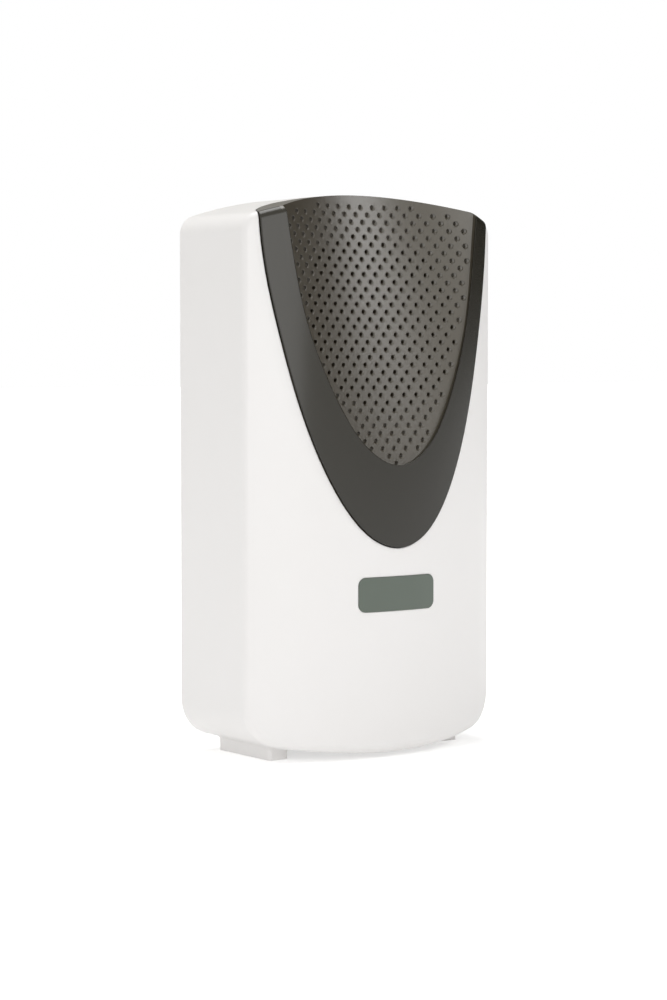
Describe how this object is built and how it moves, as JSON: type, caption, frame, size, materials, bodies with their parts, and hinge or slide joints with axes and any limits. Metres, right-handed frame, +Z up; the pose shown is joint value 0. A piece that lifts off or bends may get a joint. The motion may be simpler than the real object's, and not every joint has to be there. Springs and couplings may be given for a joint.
{
  "type": "doorbell chime box",
  "caption": "Wall or shelf chime box for a wireless doorbell: a bowed white case with a dark perforated speaker shield, a battery bay behind and side buttons.",
  "frame": {"origin": "on the plane that the two feet stand on, under the middle of the case's outer box", "axes": "+Z up the case's height, +Y into the wall behind it, +X to the right of someone facing it"},
  "size_m": [0.0854, 0.0456, 0.1556],
  "materials": {
    "white_abs": "moulded satin white ABS",
    "grey_plate": "satin lacquered grey-green plate",
    "shield_abs": "satin dark grey ABS, fine grain in the recess",
    "black_cloth": "fine black acoustic mesh",
    "black_foam": "closed-cell foam",
    "zinc_steel": "zinc-plated pressed steel",
    "ferrite": "sintered ferrite",
    "copper_winding": "enamelled copper wire on a paper former",
    "paper_cone": "pressed black paper pulp",
    "surround_rubber": "soft moulded rubber",
    "spider_cloth": "resin-stiffened woven cotton",
    "phenolic": "phenolic paper board",
    "screw_steel": "zinc-plated self-tapping screws",
    "rear_abs": "textured white ABS",
    "cell_jacket": "plain dark jacket, unprinted",
    "nickel_contact": "nickel-plated spring steel",
    "circuit_board": "green solder mask on glass-fibre board",
    "black_resin": "moulded black epoxy",
    "capacitor_sleeve": "shrunk dark blue sleeve",
    "nylon_socket": "natural nylon",
    "lead_pvc": "black PVC insulation"
  },
  "bodies": {
    "case": {"front_housing": "white_abs", "front_plate": "grey_plate", "grille_shield": "shield_abs", "acoustic_cloth": "black_cloth", "speaker_gasket": "black_foam", "speaker_frame": "zinc_steel", "speaker_top_plate": "zinc_steel", "speaker_magnet": "ferrite", "speaker_yoke": "zinc_steel", "speaker_surround": "surround_rubber", "speaker_spider": "spider_cloth", "speaker_tag_strip": "phenolic", "speaker_clamps": "zinc_steel", "speaker_screws": "screw_steel", "rear_cover": "rear_abs", "cover_screws": "screw_steel", "battery_cell_1": "cell_jacket", "battery_cell_2": "cell_jacket", "battery_cell_3": "cell_jacket", "battery_cell_4": "cell_jacket", "contact_plates": "nickel_contact", "contact_springs": "nickel_contact", "main_board": "circuit_board", "board_screws": "screw_steel", "sound_chip": "black_resin", "radio_module": "circuit_board", "capacitors": "capacitor_sleeve", "lead_sockets": "nylon_socket", "tact_switches": "black_resin", "speaker_leads": "lead_pvc", "battery_leads": "lead_pvc", "antenna_wire": "lead_pvc"},
    "door": {"battery_door": "rear_abs"},
    "volume_button": {"volume_button": "white_abs", "volume_plunger": "nylon_socket"},
    "melody_button": {"melody_button": "white_abs", "melody_plunger": "nylon_socket"},
    "speaker_diaphragm": {"speaker_cone": "paper_cone", "dust_cap": "paper_cone", "voice_coil": "copper_winding"}
  },
  "joints": [
    {"name": "door_hinge", "type": "hinge", "parent": "case", "child": "door", "pos_m": [0, 0.02175, 0.0188], "axis": [-1, 0, 0], "range_deg": [0, 95]},
    {"name": "volume_press", "type": "slide", "parent": "case", "child": "volume_button", "axis": [-1, 0, 0], "range_m": [0, 0.0005], "stiffness_N_per_m": 1500, "springref_m": -0.0003},
    {"name": "melody_press", "type": "slide", "parent": "case", "child": "melody_button", "axis": [-1, 0, 0], "range_m": [0, 0.0005], "stiffness_N_per_m": 1500, "springref_m": -0.0003},
    {"name": "diaphragm_stroke", "type": "slide", "parent": "case", "child": "speaker_diaphragm", "axis": [0, 0.9732, -0.23], "range_m": [-0.0005, 0.0005], "stiffness_N_per_m": 1500}
  ]
}
